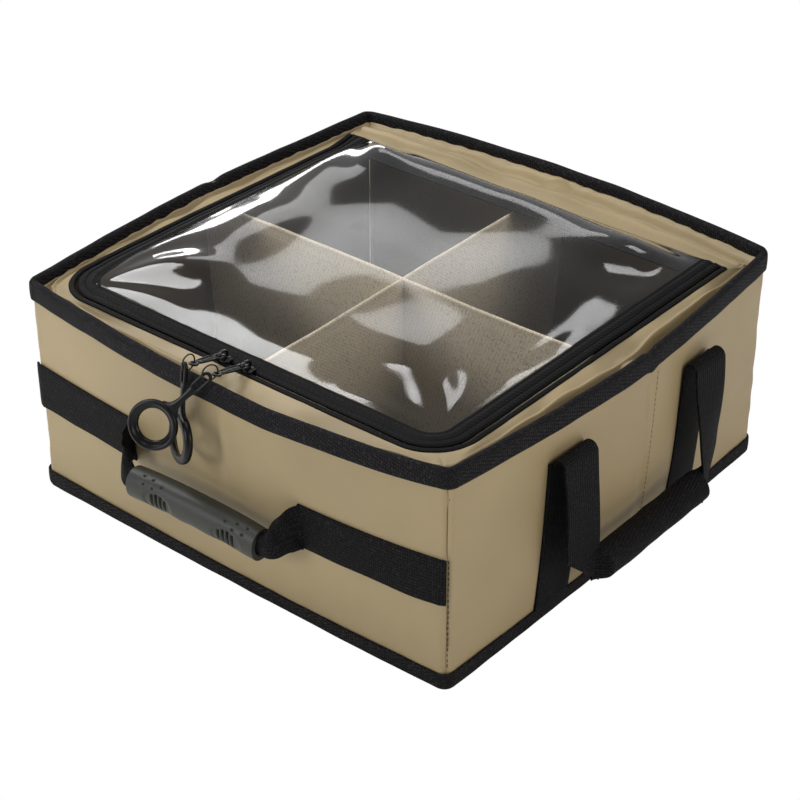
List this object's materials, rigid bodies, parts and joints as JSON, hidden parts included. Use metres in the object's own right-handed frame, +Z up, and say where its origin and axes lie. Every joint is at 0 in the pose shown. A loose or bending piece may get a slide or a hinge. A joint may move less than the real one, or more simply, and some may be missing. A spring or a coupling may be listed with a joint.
{
  "type": "cargo organizer",
  "caption": "Soft-sided square cargo box with crossed dividers, a clear zip-open lid, a moulded front grip and webbing carry handles.",
  "frame": {"origin": "centre of the base's underside, between its four corners", "axes": "+Z up; +X along the front face to its right; +Y from the front with the moulded grip to the back"},
  "size_m": [0.5002, 0.4683, 0.1975],
  "materials": {
    "canvas": "coated woven polyester, tan",
    "lining": "black woven nylon lining",
    "divider": "plain woven polyester, light tan",
    "webbing": "black woven tape and webbing",
    "film": "clear soft film",
    "grip": "moulded, grey-green",
    "pull": "moulded, black, slightly glossy",
    "slider": "black painted die casting"
  },
  "bodies": {
    "shell": {"base_panel": "lining", "front_panel": "canvas", "right_panel": "canvas", "back_panel": "canvas", "left_panel": "canvas", "lid_border": "canvas", "rim_binding": "webbing", "base_binding": "webbing", "back_edge_tape": "webbing", "zipper_outer_tape": "webbing", "divider_cross": "divider", "divider_long": "divider", "front_strap_left": "webbing", "front_strap_right": "webbing", "left_strap_front": "webbing", "left_strap_back": "webbing", "right_strap_front": "webbing", "right_strap_back": "webbing"},
    "lid": {"window_film": "film", "zipper_inner_tape": "webbing"},
    "front_handle": {"front_handle_webbing": "webbing", "front_grip": "grip"},
    "left_carry": {"left_handle": "webbing"},
    "right_carry": {"right_handle": "webbing"},
    "zip_left": {"slider_left": "slider"},
    "tab_left": {"pull_tab_left": "slider"},
    "link_left": {"link_ring_left": "slider"},
    "pull_left": {"ring_pull_left": "pull"},
    "zip_right": {"slider_right": "slider"},
    "tab_right": {"pull_tab_right": "slider"},
    "link_right": {"link_ring_right": "slider"},
    "pull_right": {"ring_pull_right": "pull"}
  },
  "joints": [
    {"name": "lid_hinge", "type": "hinge", "parent": "shell", "child": "lid", "pos_m": [0, 0.157, 0.177], "axis": [-1, 0, 0], "range_deg": [0, 110]},
    {"name": "front_handle_swing", "type": "hinge", "parent": "shell", "child": "front_handle", "pos_m": [0, -0.2118, 0.1205], "axis": [-0.9997, 0.0226, 0], "range_deg": [0, 60]},
    {"name": "left_handle_swing", "type": "hinge", "parent": "shell", "child": "left_carry", "pos_m": [-0.21495, 0, 0.146], "axis": [0, 1, 0], "range_deg": [0, 150]},
    {"name": "right_handle_swing", "type": "hinge", "parent": "shell", "child": "right_carry", "pos_m": [0.21875, 0, 0.146], "axis": [0, -1, 0], "range_deg": [0, 150]},
    {"name": "slider_left_slide", "type": "slide", "parent": "shell", "child": "zip_left", "axis": [1, 0, 0], "range_m": [-0.128, 0]},
    {"name": "tab_left_flip", "type": "hinge", "parent": "zip_left", "child": "tab_left", "pos_m": [-0.013, -0.182, 0.18115], "axis": [-1, 0, 0], "range_deg": [0, 110]},
    {"name": "link_left_swing", "type": "hinge", "parent": "tab_left", "child": "link_left", "pos_m": [-0.013, -0.21045, 0.18772], "axis": [0, 0, 1], "range_deg": [0, 20]},
    {"name": "pull_left_swing", "type": "hinge", "parent": "link_left", "child": "pull_left", "pos_m": [-0.013, -0.21965, 0.18672], "axis": [0, -0.7162, 0.6979], "range_deg": [0, 20]},
    {"name": "slider_right_slide", "type": "slide", "parent": "shell", "child": "zip_right", "axis": [1, 0, 0], "range_m": [0, 0.132]},
    {"name": "tab_right_flip", "type": "hinge", "parent": "zip_right", "child": "tab_right", "pos_m": [0.009, -0.182, 0.18115], "axis": [-1, 0, 0], "range_deg": [0, 110]},
    {"name": "link_right_swing", "type": "hinge", "parent": "tab_right", "child": "link_right", "pos_m": [0.009, -0.21045, 0.18772], "axis": [-1, 0, 0], "range_deg": [0, 20]},
    {"name": "pull_right_swing", "type": "hinge", "parent": "link_right", "child": "pull_right", "pos_m": [0.006, -0.21965, 0.18672], "axis": [-1, 0, 0], "range_deg": [0, 25]}
  ],
  "couplings": [
    {"joint": "tab_right_flip", "follows": "tab_left_flip", "ratio": 1}
  ]
}
